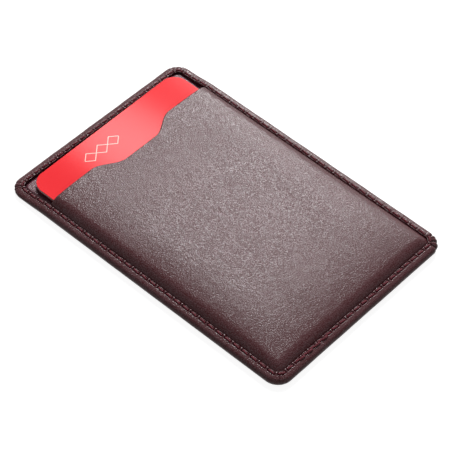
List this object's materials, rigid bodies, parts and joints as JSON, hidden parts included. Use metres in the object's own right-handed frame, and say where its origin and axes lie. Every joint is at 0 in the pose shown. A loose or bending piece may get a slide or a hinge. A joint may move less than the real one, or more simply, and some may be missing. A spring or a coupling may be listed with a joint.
{
  "type": "card case",
  "caption": "Flat leather card case with a turned, stitched hem, a padded front pocket with a thumb notch, shielding foils, and a red plastic card that slides out of its mouth.",
  "frame": {"origin": "middle of the case's outline, on the plane that its back rests on", "axes": "+Y towards the mouth, +X across the case, +Z out of the front panel"},
  "size_m": [0.064, 0.093, 0.0049],
  "materials": {
    "burgundy_leather": "satin, finely grained",
    "lining_leather": "matte",
    "shielding_foil": "metallised sheet",
    "fibre_board": "pressed fibre",
    "foam_padding": "thin foam",
    "burgundy_thread": "waxed polyester",
    "white_pvc": "card core",
    "red_printed_pvc": "gloss overlay"
  },
  "bodies": {
    "case": {"outer_leather": "burgundy_leather", "front_panel": "burgundy_leather", "back_shield_foil": "shielding_foil", "back_board": "fibre_board", "back_lining": "lining_leather", "front_padding": "foam_padding", "front_shield_foil": "shielding_foil", "front_lining": "lining_leather", "needle_thread": "burgundy_thread", "bobbin_thread": "burgundy_thread"},
    "card": {"card_core": "white_pvc", "card_front_sheet": "red_printed_pvc", "card_back_sheet": "red_printed_pvc"}
  },
  "joints": [
    {"name": "card_slide", "type": "slide", "parent": "case", "child": "card", "axis": [-0.014, 0.9999, 0.0083], "range_m": [0, 0.092]}
  ]
}
